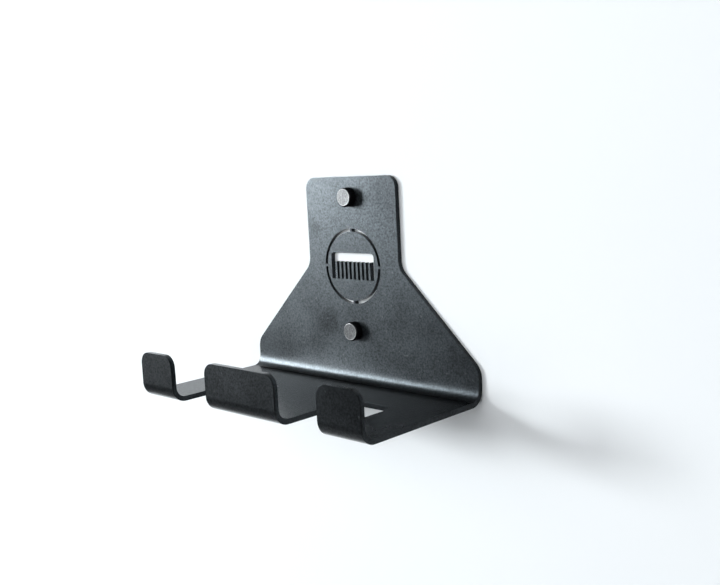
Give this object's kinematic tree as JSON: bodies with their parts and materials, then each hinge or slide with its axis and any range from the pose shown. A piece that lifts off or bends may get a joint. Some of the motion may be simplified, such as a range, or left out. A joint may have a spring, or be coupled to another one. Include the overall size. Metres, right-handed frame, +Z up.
{
  "type": "wall-mounted hair tool holder",
  "caption": "Wall bracket of folded black sheet steel: a tapered back plate, a slotted shelf with upturned hook arms, and covered screw fixings.",
  "frame": {"origin": "on the sheet's back face, where it lies on the wall, midway between the two screw holes", "axes": "+Y points into the wall, +Z is up and +X is to the right of a person facing the holder; the arms point along -Y"},
  "size_m": [0.181, 0.1255, 0.1255],
  "materials": {
    "black_powder_coat": "fine-texture semi-gloss black powder coat",
    "cover_plastic": "smooth black plastic, satin face",
    "base_plastic": "plain moulded black plastic",
    "zinc_plate": "bright zinc plate",
    "plug_nylon": "plain moulded grey nylon"
  },
  "bodies": {
    "holder": {"bracket": "black_powder_coat", "upper_cover_base": "base_plastic", "lower_cover_base": "base_plastic", "upper_wall_screw": "zinc_plate", "lower_wall_screw": "zinc_plate", "upper_wall_plug": "plug_nylon", "lower_wall_plug": "plug_nylon"},
    "upper_cover": {"upper_screw_cover": "cover_plastic"},
    "lower_cover": {"lower_screw_cover": "cover_plastic"}
  },
  "joints": [
    {"name": "upper_cover_pull", "type": "slide", "parent": "holder", "child": "upper_cover", "axis": [0, -1, 0], "range_m": [0, 0.012]},
    {"name": "lower_cover_pull", "type": "slide", "parent": "holder", "child": "lower_cover", "axis": [0, -1, 0], "range_m": [0, 0.012]}
  ]
}
